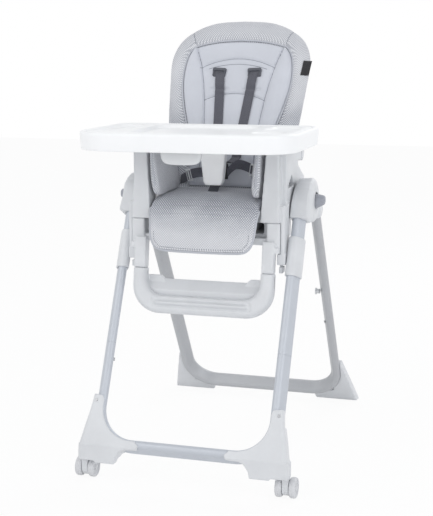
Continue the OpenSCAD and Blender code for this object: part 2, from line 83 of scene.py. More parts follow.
def box_mesh(field, lo, hi, step):
    """Quads where field crosses zero inside the box, by surface nets."""
    lo = np.array(lo, float) - 2 * step
    hi = np.array(hi, float) + 2 * step
    n = np.ceil((hi - lo) / step).astype(int) + 1
    ax = [lo[a] + step * np.arange(n[a]) for a in range(3)]
    X, Y, Z = ax[0][:, None, None], ax[1][None, :, None], ax[2][None, None, :]
    D = np.array(np.broadcast_to(field(X, Y, Z), tuple(n)), float)
    inside = D < 0
    cells = tuple(n - 1)
    total = np.zeros(cells + (3,))
    count = np.zeros(cells)
    crossings = []
    for a in range(3):
        b, c = (a + 1) % 3, (a + 2) % 3
        first = [slice(None)] * 3
        second = [slice(None)] * 3
        first[a], second[a] = slice(0, -1), slice(1, None)
        d0, d1 = D[tuple(first)], D[tuple(second)]
        i0, i1 = inside[tuple(first)], inside[tuple(second)]
        cross = i0 != i1
        t = np.where(cross, d0 / np.where(cross, d0 - d1, 1), 0)
        at = np.zeros(d0.shape + (3,))
        for k in range(3):
            shape = [1, 1, 1]
            shape[k] = -1
            line = ax[k][: d0.shape[k]].reshape(shape)
            at[..., k] = line + (t * step if k == a else 0)
        crossings.append((a, b, c, cross, i0))
        for ob in (0, 1):
            for oc in (0, 1):
                part = [slice(None)] * 3
                part[b] = slice(ob, ob + cells[b])
                part[c] = slice(oc, oc + cells[c])
                hit = cross[tuple(part)]
                total += np.where(hit[..., None], at[tuple(part)], 0)
                count += hit
    used = count > 0
    index = np.full(cells, -1)
    index[used] = np.arange(int(used.sum()))
    points = total[used] / count[used][:, None]
    quads = []
    for a, b, c, cross, i0 in crossings:
        where = np.argwhere(cross)
        where = where[(where[:, b] > 0) & (where[:, c] > 0)]
        where = where[(where[:, b] < cells[b]) & (where[:, c] < cells[c])]
        corners = []
        for ob, oc in ((1, 1), (0, 1), (0, 0), (1, 0)):
            w = where.copy()
            w[:, b] -= ob
            w[:, c] -= oc
            corners.append(index[w[:, 0], w[:, 1], w[:, 2]])
        q = np.stack(corners, 1)
        flip = ~i0[where[:, 0], where[:, 1], where[:, 2]]
        q[flip] = q[flip][:, ::-1]
        quads.append(q)
    return points, np.concatenate(quads)


def settle(field, points, step, rounds=2):
    """Moves points onto the zero surface along the field's slope."""
    h = step * 0.2
    for _ in range(rounds):
        x, y, z = points.T
        d = field(x, y, z)
        g = np.stack([
            field(x + h, y, z) - field(x - h, y, z),
            field(x, y + h, z) - field(x, y - h, z),
            field(x, y, z + h) - field(x, y, z - h)], 1) / (2 * h)
        size = np.maximum((g ** 2).sum(1), 0.2)
        points = points - g * np.clip(d / size, -step * 0.6, step * 0.6)[:, None]
    return points


def new_object(name, points, faces, material, smooth=True):
    mesh = bpy.data.meshes.new(name)
    mesh.from_pydata([tuple(p) for p in points], [], [tuple(int(i) for i in f) for f in faces])
    mesh.update()
    obj = bpy.data.objects.new(name, mesh)
    scene.collection.objects.link(obj)
    if material is not None:
        mesh.materials.append(material)
    if smooth:
        mesh.shade_smooth()
    return obj


def solid(name, field, lo, hi, step, place, material):
    """A mesh of the field's zero surface; the field and box are in mm in the frame named by place."""
    points, quads = box_mesh(field, lo, hi, step)
    points = settle(field, points, step)
    if place.determinant() < 0:
        quads = quads[:, ::-1]
    return new_object(name, placed(points, place) * MM, quads, material)


def smin(a, b, k):
    h = np.clip(0.5 + 0.5 * (b - a) / k, 0, 1)
    return b + (a - b) * h - k * h * (1 - h)


def smax(a, b, k):
    return -smin(-a, -b, k)


def rbox(x, y, z, lo, hi, r):
    """Box with rounded edges, from corner lo to corner hi."""
    c = [(l + h) / 2 for l, h in zip(lo, hi)]
    q = [np.abs(v - m) - (h - l) / 2 + r for v, m, l, h in zip((x, y, z), c, lo, hi)]
    out = np.sqrt(sum(np.maximum(v, 0) ** 2 for v in q))
    return out + np.minimum(np.maximum(np.maximum(q[0], q[1]), q[2]), 0) - r


def corner(u, v):
    """Distance to a square corner from its two signed distances."""
    return np.sqrt(np.maximum(u, 0) ** 2 + np.maximum(v, 0) ** 2) + np.minimum(np.maximum(u, v), 0)


def extruded(d, z, z0, z1, r):
    """A flat outline's distance d made solid from z0 to z1, with edges of radius r."""
    return corner(d + r, np.abs(z - (z0 + z1) / 2) - (z1 - z0) / 2 + r) - r


def rod(u, v, w, w0, w1, r, edge=1.0):
    """A round bar of radius r along w."""
    return extruded(np.sqrt(u ** 2 + v ** 2) - r, w, w0, w1, edge)


def runs(points, ends, x, z):
    """For each straight from points to ends: the offset from its start, its run and the square distance."""
    for (ax, az), (bx, bz) in zip(points, ends):
        ex, ez, wx, wz = bx - ax, bz - az, x - ax, z - az
        t = np.clip((wx * ex + wz * ez) / (ex * ex + ez * ez + 1e-12), 0, 1)
        yield wx, wz, ex, ez, az, bz, (wx - t * ex) ** 2 + (wz - t * ez) ** 2


def outline(points):
    """Signed distance to a closed polygon, negative inside."""
    pts = [tuple(map(float, p)) for p in points]

    def distance(x, z):
        best, sign = 1e18, 1.0
        for wx, wz, ex, ez, az, bz, square in runs(pts, pts[1:] + pts[:1], x, z):
            best = np.minimum(best, square)
            c1, c2, c3 = z >= az, z < bz, ex * wz > ez * wx
            sign = np.where((c1 & c2 & c3) | (~c1 & ~c2 & ~c3), -sign, sign)
        return sign * np.sqrt(best)

    return distance


def near(points):
    """Distance to an open line through these points."""
    pts = [tuple(map(float, p)) for p in points]

    def distance(x, z):
        best = 1e18
        for *_, square in runs(pts, pts[1:], x, z):
            best = np.minimum(best, square)
        return np.sqrt(best)

    return distance


def curved(points, n=8, closed=False):
    """Points of a smooth line through the given ones."""
    p = [np.array(q, float) for q in points]
    count = len(p)
    spans = count if closed else count - 1
    made = []
    for i in range(spans):
        if closed:
            a, b, c, d = (p[(i + k) % count] for k in (-1, 0, 1, 2))
        else:
            a, b, c, d = p[max(i - 1, 0)], p[i], p[i + 1], p[min(i + 2, count - 1)]
        for t in np.arange(n) / n:
            made.append(0.5 * (2 * b + (c - a) * t + (2 * a - 5 * b + 4 * c - d) * t * t
                               + (3 * b - a - 3 * c + d) * t ** 3))
    if not closed:
        made.append(p[-1])
    return [tuple(q) for q in made]


def rounded(w, d, r):
    """Distance to a rectangle with round corners, centred."""
    def distance(x, z):
        return corner(np.abs(x) - w / 2 + r, np.abs(z) - d / 2 + r) - r
    return distance


def mirrored(edge):
    """A half outline from its foot to the middle line, with its other half added."""
    return edge + [(-x, z) for x, z in reversed(edge[:-1])]


def skin(loops, n):
    """Quads that join neighbouring loops of n points each."""
    return [(i * n + k, i * n + (k + 1) % n, (i + 1) * n + (k + 1) % n, (i + 1) * n + k)
            for i in range(loops - 1) for k in range(n)]


def caps(loops, n):
    """The first and the last loop as a face each."""
    return tuple(range(n)), tuple((loops - 1) * n + k for k in range(n))


def sides(make):
    """Runs make(s, suffix) for the left and the right side."""
    return [make(s, suffix) for s, suffix in ((-1, "l"), (1, "r"))]


def tube_along(name, path, radius, material, place=FLAT, around=10):
    """A round bead along a path in mm, by sweeping a ring with a steady frame."""
    p = placed(np.array(path, float), place)
    ahead = np.roll(p, -1, 0) - np.roll(p, 1, 0)
    ahead[0], ahead[-1] = p[1] - p[0], p[-1] - p[-2]
    ahead /= np.linalg.norm(ahead, axis=1)[:, None]
    up = np.array([0, 0, 1.0]) if abs(ahead[0][2]) < 0.9 else np.array([1.0, 0, 0])
    points = []
    for middle, forward in zip(p, ahead):
        up = up - forward * (up @ forward)
        up /= np.linalg.norm(up)
        side = np.cross(forward, up)
        for a in np.arange(around) * 2 * math.pi / around:
            points.append(middle + radius * (math.cos(a) * up + math.sin(a) * side))
    start, end = caps(len(p), around)
    return new_object(name, np.array(points) * MM, skin(len(p), around) + [start, end[::-1]], material)


def ribbon(name, middle, across, width, thick, material):
    """A flat strap from middle points and matching sideways directions, in mm in the shared frame."""
    mid = np.array(middle, float)
    side = np.array(across, float)
    side /= np.linalg.norm(side, axis=1)[:, None]
    ahead = np.gradient(mid, axis=0)
    ahead /= np.linalg.norm(ahead, axis=1)[:, None]
    out = np.cross(side, ahead)
    cut = [(-1, -.5), (-.96, -1), (-.5, -1), (0, -1), (.5, -1), (.96, -1), (1, -.5),
           (1, .5), (.96, 1), (.5, 1), (0, 1), (-.5, 1), (-.96, 1), (-1, .5)]
    points = []
    length = np.concatenate([[0], np.cumsum(np.linalg.norm(np.diff(mid, axis=0), axis=1))])
    uv = []
    for i in range(len(mid)):
        for a, b in cut:
            points.append(mid[i] + side[i] * a * width / 2 + out[i] * b * thick / 2)
            uv.append((a * width / 2, length[i]))
    start, end = caps(len(mid), len(cut))
    obj = new_object(name, np.array(points) * MM, skin(len(mid), len(cut)) + [start[::-1], end], material)
    lay_uv(obj, np.array(uv) * MM)
    return obj


def lay_uv(obj, uv):
    """Stores one flat coordinate a vertex, in metres, as the map that weaves read."""
    layer = obj.data.uv_layers.new(name="weave")
    idx = np.zeros(len(obj.data.loops), int)
    obj.data.loops.foreach_get("vertex_index", idx)
    layer.data.foreach_set("uv", np.asarray(uv, np.float32)[idx].ravel())


def coordinates(obj):
    co = np.zeros(len(obj.data.vertices) * 3)
    obj.data.vertices.foreach_get("co", co)
    return co.reshape(-1, 3)


def local(obj, place):
    """An object's vertices in mm in the frame named by place."""
    return placed(coordinates(obj) / MM, place.inverted())


def laid_on(obj, place, line, proud):
    """Drops (x, z) points of the frame named by place onto an object from its front, proud by that many mm."""
    mesh = obj.data
    tree = BVHTree.FromPolygons([v.co for v in mesh.vertices], [tuple(f.vertices) for f in mesh.polygons])
    ahead = (place.to_3x3() @ Vector((0, 1, 0))).normalized()
    back = place.inverted()
    found = []
    for x, z in line:
        hit = tree.ray_cast((place @ Vector((x, RAY_START, z))) * MM, ahead)[0]
        if hit is not None:
            q = back @ (hit / MM)
            found.append((x, q.y - proud, z))
    return found


def merged(pieces):
    """Points and faces of several objects as one list each."""
    points, faces = [], []
    for piece in pieces:
        base = len(points)
        points += [tuple(v.co) for v in piece.data.vertices]
        faces += [tuple(base + i for i in f.vertices) for f in piece.data.polygons]
    return points, faces


def seam(name, obj, place, lines, body, radius, proud):
    """Stitching lines on a cushion, joined in one piece; a negative proud sinks them."""
    made = [tube_along("%s_%d" % (name, i), laid_on(obj, place, line, proud), radius, SEAM, place, 6)
            for i, line in enumerate(lines)]
    points, faces = merged(made)
    for piece in made:
        bpy.data.objects.remove(piece)
    joined = new_object(name, points, faces, SEAM)
    if body:
        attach(joined, body)
    return joined


def puff(obj, held, cap, pressure=4.0, frames=18):
    """Blows fabric up a little with Cloth; held is a 0 to 1 array of how firmly each vertex is fixed."""
    rest = coordinates(obj)
    group = obj.vertex_groups.new(name="held")
    for level in (0.25, 0.5, 0.75, 1.0):
        chosen = np.flatnonzero((held >= level - 0.125) & (held < level + 0.125))
        if len(chosen):
            group.add([int(i) for i in chosen], level, "REPLACE")
    cloth = obj.modifiers.new("cloth", "CLOTH")
    s = cloth.settings
    s.quality = 4
    s.mass = 0.3
    s.tension_stiffness = s.compression_stiffness = 12
    s.shear_stiffness = 6
    s.bending_stiffness = 0.6
    s.use_pressure = True
    s.uniform_pressure_force = pressure
    s.vertex_group_mass = "held"
    s.effector_weights.gravity = 0
    cloth.point_cache.frame_start, cloth.point_cache.frame_end = 1, frames
    cloth.collision_settings.use_collision = False
    for f in range(1, frames + 1):
        scene.frame_set(f)
    evaluated = obj.evaluated_get(bpy.context.evaluated_depsgraph_get())
    moved = np.zeros(len(rest) * 3)
    evaluated.data.vertices.foreach_get("co", moved)
    moved = moved.reshape(-1, 3) - rest
    obj.modifiers.remove(cloth)
    obj.vertex_groups.remove(group)
    far = np.linalg.norm(moved, axis=1)
    moved *= np.minimum(1, cap * MM / np.maximum(far, 1e-9))[:, None]
    obj.data.vertices.foreach_set("co", (rest + moved).ravel())
    obj.data.update()
    scene.frame_set(1)


# ---- materials ------------------------------------------------------------------

# repeats of the weave, of its threads and of the webbing's warp, in metres
DIAMOND, THREAD, WARP = 0.0058, 0.0011, 0.0021


def linear(*srgb):
    """Colour written as 0-255 sRGB, made linear."""
    c = [v / 255 for v in srgb]
    return tuple(v / 12.92 if v < 0.04045 else ((v + 0.055) / 1.055) ** 2.4 for v in c) + (1.0,)


class Paint:
    """Short hand for a procedural material's nodes."""

    def __init__(self, name, **sockets):
        self.material = bpy.data.materials.new(name)
        self.material.use_nodes = True
        self.tree = self.material.node_tree
        self.shader = self.tree.nodes["Principled BSDF"]
        for key, value in sockets.items():
            self.shader.inputs[key.replace("_", " ")].default_value = value

    def add(self, kind, inputs=(), **settings):
        node = self.tree.nodes.new("ShaderNode" + kind)
        for key, value in settings.items():
            setattr(node, key, value)
        for key, value in dict(inputs).items():
            if hasattr(value, "is_output"):
                self.tree.links.new(value, node.inputs[key])
            else:
                node.inputs[key].default_value = value
        return node

    def to(self, key, socket):
        self.tree.links.new(socket, self.shader.inputs[key])

    def maths(self, operation, a, b=0.0):
        return self.add("Math", {0: a, 1: b}, operation=operation).outputs[0]

    def where(self):
        return self.add("TexCoord").outputs["Object"]

    def noise(self, scale, detail=3.0, rough=0.55, vector=None):
        vector = vector or self.where()
        n = self.add("TexNoise", {"Vector": vector, "Scale": scale, "Detail": detail, "Roughness": rough})
        return n.outputs["Fac"]

    def spread(self, value, low, high, a=0.3, b=0.7):
        limits = {"From Min": a, "From Max": b, "To Min": low, "To Max": high}
        return self.add("MapRange", {"Value": value, **limits}).outputs["Result"]

    def mix(self, factor, first, second, blend="MIX"):
        node = self.add("Mix", data_type="RGBA", blend_type=blend)
        for key, value in ((0, factor), (6, first), (7, second)):
            if hasattr(value, "is_output"):
                self.tree.links.new(value, node.inputs[key])
            else:
                node.inputs[key].default_value = value
        return node.outputs[2]

    def bump(self, height, strength, distance, under=None):
        inputs = {"Height": height, "Strength": strength, "Distance": distance}
        if under is not None:
            inputs["Normal"] = under
        return self.add("Bump", inputs).outputs["Normal"]


def shades(colour, by):
    """A colour made darker and lighter by that share."""
    return [tuple(min(1, c * share) for c in colour[:3]) + (1,) for share in (1 - by, 1 + by)]


def moulded(name, colour, rough, grain=2600, depth=0.00012, mottle=0.03):
    """Moulded plastic: fine spark-eroded grain, slight flow mottling, convex edges painted a little brighter as a
    painted highlight.
    """
    p = Paint(name, Roughness=rough)
    dark, light = shades(colour, mottle)
    base = p.mix(p.spread(p.noise(14, 4), 0, 1, 0.35, 0.65), dark, light)
    # painted highlight: convex edges, found by pointiness, are mixed toward the lighter colour
    edge_highlight = p.add("NewGeometry").outputs["Pointiness"]
    base = p.mix(p.spread(edge_highlight, 0, 0.35, 0.52, 0.62), base, light)
    p.to("Base Color", base)
    p.to("Roughness", p.spread(p.noise(60, 3), rough - 0.05, rough + 0.07))
    p.to("Normal", p.bump(p.noise(grain, 2), 0.25, depth))
    return p.material


def weave_vector(p):
    return p.add("UVMap", uv_map="weave").outputs["UV"]


def woven(name, ground, light, zones):
    """Upholstery woven with small light diamonds on a ground whose depth changes along the cloth.

    zones lists (distance along the cloth in metres, 0 for pale to 1 for the full ground colour)."""
    p = Paint(name, Roughness=0.88, Sheen_Weight=0.15, Sheen_Roughness=0.5)
    split = p.add("SeparateXYZ", {"Vector": weave_vector(p)})
    u, v = split.outputs["X"], split.outputs["Y"]
    ramp = p.add("ValToRGB", {"Fac": p.maths("ADD", v, p.spread(p.noise(9, 3), -0.02, 0.02))})
    ramp.color_ramp.interpolation = "EASE"
    stops = ramp.color_ramp.elements
    for stop, (place, depth) in zip(list(stops), (zones[0], zones[-1])):
        stop.position, stop.color = place, (depth, depth, depth, 1)
    for place, depth in zones[1:-1]:
        stops.new(place).color = (depth, depth, depth, 1)
    depth = p.maths("MULTIPLY", ramp.outputs["Color"], p.spread(p.noise(16, 3), 0.78, 1.12))
    k = 2 * math.pi / DIAMOND
    diamond = p.maths("MULTIPLY", p.maths("SINE", p.maths("MULTIPLY", u, k)),
                      p.maths("SINE", p.maths("MULTIPLY", v, k)))
    tone = p.spread(diamond, 0, 1, -0.1, 0.5)
    tone = p.mix(p.spread(p.noise(1100, 2), 0, 0.3), tone, (0.5, 0.5, 0.5, 1))
    pale = tuple(0.3 * g + 0.7 * w for g, w in zip(ground, light))
    p.to("Base Color", p.mix(tone, p.mix(depth, pale, ground), light))
    thread = p.maths("SINE", p.maths("MULTIPLY", u, 2 * math.pi / THREAD))
    cross = p.maths("SINE", p.maths("MULTIPLY", v, 2 * math.pi / THREAD))
    fine = p.bump(p.maths("MULTIPLY", thread, cross), 0.3, 0.0003)
    p.to("Normal", p.bump(diamond, 0.3, 0.0005, fine))
    return p.material


def soft_cloth(name, colour, grain=1500, tint=0.04):
    """Smooth knitted cover: very fine knit, faint creasing and shade drift."""
    p = Paint(name, Roughness=0.82, Sheen_Weight=0.35, Sheen_Roughness=0.45)
    dark, light = shades(colour, tint)
    base = p.mix(p.spread(p.noise(11, 4), 0, 1), dark, light)
    base = p.mix(p.spread(p.noise(900, 2), 0, 0.25), base, dark)
    p.to("Base Color", base)
    crease = p.bump(p.noise(22, 4, 0.6), 0.35, 0.004)
    p.to("Normal", p.bump(p.noise(grain, 2), 0.35, 0.0003, crease))
    return p.material


def webbing(name, colour, pitch=0.0016):
    """Nylon webbing: cross ribs with a herringbone lean, the colour following the rib height as painted highlight
    on the crests and painted shade in the grooves.
    """
    p = Paint(name, Roughness=0.7, Sheen_Weight=0.15)
    split = p.add("SeparateXYZ", {"Vector": weave_vector(p)})
    u, v = split.outputs["X"], split.outputs["Y"]
    lean = p.maths("ABSOLUTE", u)
    rib = p.maths("SINE", p.maths("MULTIPLY", p.maths("ADD", v, lean), 2 * math.pi / pitch))
    warp = p.maths("SINE", p.maths("MULTIPLY", u, 2 * math.pi / WARP))
    height = p.maths("ADD", rib, p.maths("MULTIPLY", warp, 0.6))
    light = tuple(min(1, c * 1.5 + 0.004) for c in colour[:3]) + (1,)
    dark = tuple(c * 0.7 for c in colour[:3]) + (1,)
    # painted highlight and shade: rib crests mixed toward the lighter colour, grooves toward the darker
    p.to("Base Color", p.mix(p.spread(height, 0, 1, -1.2, 1.2), dark, light))
    p.to("Normal", p.bump(height, 0.5, 0.0004))
    return p.material


def satin_tube(name, dark, light):
    """Silver powder coat on steel tube: fine fleck, slight orange peel, a soft sheen."""
    p = Paint(name, Metallic=0.25, Roughness=0.46, Coat_Weight=0.1, Coat_Roughness=0.35)
    base = p.mix(p.spread(p.noise(2400, 2), 0, 1, 0.4, 0.62), dark, light)
    base = p.mix(p.spread(p.noise(6, 3), 0, 0.3), base, dark)
    p.to("Base Color", base)
    p.to("Roughness", p.spread(p.noise(40, 3), 0.42, 0.52))
    p.to("Normal", p.bump(p.noise(420, 2), 0.2, 0.0002))
    return p.material


def plated(name, colour, rough):
    p = Paint(name, Metallic=1.0, Roughness=rough)
    scratch = p.add("Mapping", {"Vector": p.where(), "Scale": (40, 900, 900)}).outputs["Vector"]
    fine = p.noise(3, 4, 0.6, scratch)
    p.to("Base Color", p.mix(p.spread(fine, 0, 1), tuple(c * 0.8 for c in colour[:3]) + (1,), colour))
    p.to("Roughness", p.spread(fine, rough - 0.06, rough + 0.1))
    return p.material


GREY = moulded("grey_plastic", linear(219, 221, 224), 0.42)
GREY_SMOOTH = moulded("grey_plastic_smooth", linear(222, 224, 226), 0.34, mottle=0.02)
WHITE = moulded("white_plastic", linear(250, 251, 252), 0.4, grain=1800, depth=0.00002, mottle=0.004)
DARK = moulded("dark_grey_plastic", linear(158, 161, 170), 0.45)
BLACK = moulded("black_plastic", linear(38, 39, 44), 0.45)
LOOP = moulded("loop_plastic", linear(86, 88, 96), 0.5)
WHEEL = moulded("caster_wheel", linear(214, 215, 218), 0.5, grain=1500)
TUBE = satin_tube("satin_tube", linear(188, 193, 201), linear(208, 212, 219))
# painted shade: the same tube finish, darker and greyer, for the rear frame's tubes
REAR_TUBE_SHADED = satin_tube("satin_tube_rear_shaded", linear(178, 180, 184), linear(194, 196, 199))
STEEL = plated("steel", linear(186, 187, 190), 0.3)
WOVEN = woven("woven_fabric", linear(140, 144, 155), linear(236, 237, 240),
              [(0, 0.9), (0.17, 1.0), (0.235, 0.45), (0.3, 0.25), (0.37, 0.55), (0.43, 0.6), (0.6, 0.7),
               (0.76, 0.6)])
WOVEN_SEAT = woven("woven_seat", linear(126, 131, 146), linear(238, 239, 242),
                   [(0, 0.6), (0.085, 0.75), (0.13, 1.0), (0.165, 0.95), (0.195, 0.55), (0.225, 0.2),
                    (0.3, 0.3)])
SMOOTH = soft_cloth("smooth_fabric", linear(210, 213, 221))
PIPING = soft_cloth("piping", linear(192, 195, 202), 2200, 0.05)
SEAM = soft_cloth("seam_thread", linear(146, 150, 159), 2200, 0.05)
WEB = webbing("webbing", linear(88, 89, 98))
TAG = webbing("tag_cloth", linear(34, 34, 38), 0.0012)


def finish_node(material, *names):
    for n in names:
        mesh = nodes[n].data
        mesh.materials.clear()
        mesh.materials.append(material)
        mesh.shade_smooth()
        mesh.set_sharp_from_angle(angle=math.radians(32))


def dress(obj, body, slot, *replaced):
    """Rides a finished piece on its body and hides the solids it stands for; slot is not used."""
    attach(obj, body)
    if replaced:
        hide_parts(*replaced)
    return obj


# ---- copies of the CAD shells with moulded, rounded edges -----------------------


def shell_copy(name, parts, voxel, rounds, material, keep=0.35, grow=0.0):
    """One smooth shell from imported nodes: fused, edges relaxed, then thinned to fewer faces."""
    obj = new_object(name, *merged([nodes[part] for part in parts]), material)
    weld = obj.modifiers.new("weld", "WELD")
    weld.merge_threshold = 0.00001
    remesh = obj.modifiers.new("remesh", "REMESH")
    remesh.mode, remesh.voxel_size, remesh.adaptivity = "VOXEL", voxel * MM, 0
    relax = obj.modifiers.new("relax", "SMOOTH")
    relax.factor, relax.iterations = 0.5, rounds
    if grow:
        swell = obj.modifiers.new("swell", "DISPLACE")
        swell.strength, swell.mid_level = grow * MM, 0
    if keep < 1:
        thin = obj.modifiers.new("thin", "DECIMATE")
        thin.ratio = keep
    return baked(obj)


def baked(obj):
    """Applies every modifier."""
    evaluated = obj.evaluated_get(bpy.context.evaluated_depsgraph_get())
    mesh = bpy.data.meshes.new_from_object(evaluated)
    old = obj.data
    obj.modifiers.clear()
    obj.data = mesh
    mesh.name = obj.name
    bpy.data.meshes.remove(old)
    mesh.shade_smooth()
    return obj


def subdivided(obj):
    m = obj.modifiers.new("subdivide", "SUBSURF")
    m.levels = m.render_levels = 1
    return baked(obj)


def moulding(name, parts, body, slot, voxel=1.8, rounds=6, material=None, keep=0.35, grow=0.0, shape=None):
    obj = shell_copy(name, parts, voxel, rounds, material or GREY, keep, grow)
    if shape:
        moved = shape(coordinates(obj) / MM) * MM
        obj.data.vertices.foreach_set("co", moved.ravel())
        obj.data.update()
    return dress(obj, body, slot, *parts)


# ---- upholstery of the back -----------------------------------------------------

cover_d = outline(mirrored(curved([
    (147, -11), (158, 40), (168, 105), (175, 166), (180, 220), (185, 280), (187.5, 318), (185, 347), (176, 374),
    (160, 398), (131, 421), (98, 437), (60, 446), (0, 449)], 4)))
insert_edge = mirrored(curved([
    (92, -7), (96, 50), (106, 110), (118.5, 161), (130, 201), (139.5, 246), (143, 290), (138, 334), (127, 358),
    (112, 369), (58, 381), (0, 385)], 4))
insert_d = outline(insert_edge)
corner_seam = near([(140, 428), (133, 412), (126, 394), (118, 370)])


def groove(distance, width, depth):
    return depth * np.exp(-(distance / width) ** 2)


def cover_field(x, y, z):
    d = cover_d(x, z)
    inner = insert_d(x, z)
    d = d + 15 * np.clip((y - 10) / 26, 0, 1) ** 1.5
    width = np.maximum(inner - cover_d(x, z), 1)
    s = np.clip(inner / width, 0, 1)
    front = np.where(inner > 0, 4 - 9.5 * np.sin(math.pi * s ** 0.8), 4 + np.minimum(-inner * 0.9, 8))
    front = front + groove(corner_seam(np.abs(x), z), 2.4, 2.6)
    return smax(smax(front - y, y - 37, 12), d, 24)


def high_seam(x):
    """Height of the top cross seam of the insert."""
    return 335 - 24 * (x / 95) ** 2


def under_seam(x):
    return 319 - 13 * (x / 77) ** 2


def low_seam(x):
    return 240 - 17 * (x / 75) ** 2


def seam_x(z):
    """Half width between the insert's two side seams."""
    return np.interp(z, [0, 60, 160, 226, 270, 318, 372], [70, 70, 72, 79.5, 87, 98, 118])


def insert_front(x, z):
    """Front surface of the smooth cushion: bolsters at the sides, a quilted middle."""
    a = np.abs(x)
    xs = seam_x(z)
    d = insert_d(x, z)
    s = np.clip((a - xs) / np.maximum(a - xs - d, 1), 0, 1)
    high, under, low = high_seam(x), under_seam(x), low_seam(x)
    bolster = 9 * np.sin(math.pi * s) ** 0.75
    t_top = np.clip((z - high) / np.maximum(382 - high, 1), 0, 1)
    t_mid = np.clip((z - low) / (high - low), 0, 1)
    t_low = np.clip((low - z) / 230, 0, 1)
    swell = np.where(z > high, 4.5 * np.sin(math.pi * t_top) ** 0.7,
                     np.where(z > low, 3.2 * np.sin(math.pi * t_mid) ** 0.6,
                              3.6 * np.sin(math.pi * t_low) ** 0.5))
    across = np.cos(np.clip(a / xs, 0, 1) * math.pi / 2) ** 0.6
    middle = swell * (0.35 + 0.65 * across)
    out = -1.5 - np.where(a > xs, bolster, middle)
    out = out + groove(a - xs, 2.4, 3.2)
    in_middle = np.clip((xs - a) / 3, 0, 1)
    seams = groove(z - high, 2.4, 3.0) + groove(z - under, 3.0, 1.6) + groove(z - low, 2.4, 3.0)
    out = out + in_middle * seams
    # the unused lower pair of strap slots
    slot_d = np.hypot(np.maximum(np.abs(a - 42) - 20, 0), z - 251)
    return out + groove(slot_d, 4.2, 3.4)


def insert_field(x, y, z):
    d = insert_d(x, z) + 0.6
    return smax(smax(insert_front(x, z) - y, y - 11.4, 3), d, 9)


def back_uv(obj):
    x, y, z = local(obj, BACK).T
    u = x + np.clip(x / 60, -1, 1) * y
    v = z + np.clip((z - 250) / 60, -1, 1) * y
    lay_uv(obj, np.stack([u, v], 1) * MM)


cover = solid("back_cover", cover_field, (-190, -8, -13), (190, 38, 451), 4, BACK, WOVEN)
rest = local(cover, BACK)
puff(cover, np.clip((rest[:, 1] - 4) / 18, 0, 1) + (insert_d(rest[:, 0], rest[:, 2]) < 4), 4)
cover = subdivided(cover)
back_uv(cover)
dress(cover, "backrest", "woven_fabric", "back_pad")

insert = solid("back_insert", insert_field, (-145, -14, -9), (145, 12, 388), 3.2, BACK, SMOOTH)
insert = subdivided(insert)
dress(insert, "backrest", "smooth_fabric", "insert_pad")

seam("insert_seams", insert, BACK,
     [[(s * float(seam_x(z)), z) for z in np.linspace(12, 372, 60)] for s in (-1, 1)]
     + [[(x, line(x)) for x in np.linspace(-wide, wide, n)]
        for line, wide, n in ((high_seam, 101, 40), (under_seam, 77, 32), (low_seam, 80, 32))],
     "backrest", 0.9, -0.3)
seam("cover_seams", cover, BACK,
     [[(s * x, z) for x, z in curved([(137, 424), (133, 412), (126, 394), (120, 376)], 6)] for s in (-1, 1)],
     "backrest", 1.0, -0.2)

bead = [(x * 1.012, 0.5 + 1.5 * math.sin(z / 40), z * 1.006) for x, z in insert_edge]
piping = tube_along("insert_piping", bead, 2.3, PIPING, BACK)
dress(piping, "backrest", "smooth_fabric")

# ---- harness on the back --------------------------------------------------------


def back_points(points):
    return placed(np.array(points, float), BACK)


def shoulder(s, suffix):
    path = []
    for t in np.linspace(0, 1, 46):
        z = 302 - t * 236
        x = s * (44.5 - 19 * t)
        lift = 3.0 + 2.2 * math.sin(t * math.pi * 3) * 0.4
        y = float(np.min(insert_front(np.array([x - 9, x, x + 9]), np.full(3, z)))) - lift
        if t < 0.05:
            y += (0.05 - t) * 120
        path.append((x, y, z))
    mid = back_points(path)
    end = mid[-1]
    goal = np.array([s * 17, -90, 729])
    for t in np.linspace(0.08, 1, 12):
        e = t * t * (3 - 2 * t)
        drop = -7 * math.sin(math.pi * t)
        mid = np.vstack([mid, end + (goal - end) * np.array([e, t, e]) + np.array([0, 0, drop])])
    mid = curved(mid, 2)
    level = np.tile([1.0, 0, 0], (len(mid), 1))
    strap = subdivided(ribbon("shoulder_strap_" + suffix, mid, level, 24, 1.9, WEB))
    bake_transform(strap)
    if s < 0:
        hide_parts("shoulder_straps")
    return strap


sides(shoulder)


def loop_field(x, y, z):
    """Flat sewn-in guide that the shoulder strap comes out of."""
    body = rbox(x, y, z, (-17.5, -4.5, -11), (17.5, 4, 11), 4)
    lip = rbox(x, y, z, (-17.5, -7.0, 2), (17.5, 3, 12), 3.4)
    mouth = rbox(x, y, z, (-13, -9, -16), (13, -1.5, 3.5), 1.5)
    return smax(smin(body, lip, 3), -mouth, 2)


def loop(s, suffix):
    y = float(insert_front(np.array([s * 46.0]), np.array([294.0]))[0])
    turn = Matrix.Rotation(math.radians(-3 * s), 4, "Y")
    place = BACK @ Matrix.Translation((s * 46.5, y - 1.0, 294.5)) @ turn
    guide = solid("strap_loop_" + suffix, loop_field, (-18, -8, -12), (18, 5, 13), 1.3, place, LOOP)
    return dress(guide, "backrest", "black_plastic", *(["strap_loops"] if s < 0 else []))


sides(loop)

# blank woven label folded into the side seam
tag_points = laid_on(cover, BACK, [(168 + 1.4 * i, 308 + 0.3 * i) for i in range(8)], 1.2)
edge_x, edge_y = tag_points[-1][:2]
tag_points += [(edge_x + 1.6 * i, edge_y + 0.6 * i, 310.1 + 0.3 * i) for i in range(1, 7)]
tag_across = back_points([(5, 0, 40)])[0] - back_points([(0, 0, 0)])[0]
tag = ribbon("side_tag", back_points(tag_points), np.tile(tag_across, (len(tag_points), 1)), 40, 0.9, TAG)
dress(tag, "backrest", "webbing")

# ---- seat cushion that rolls over the front edge into the leg rest ---------------

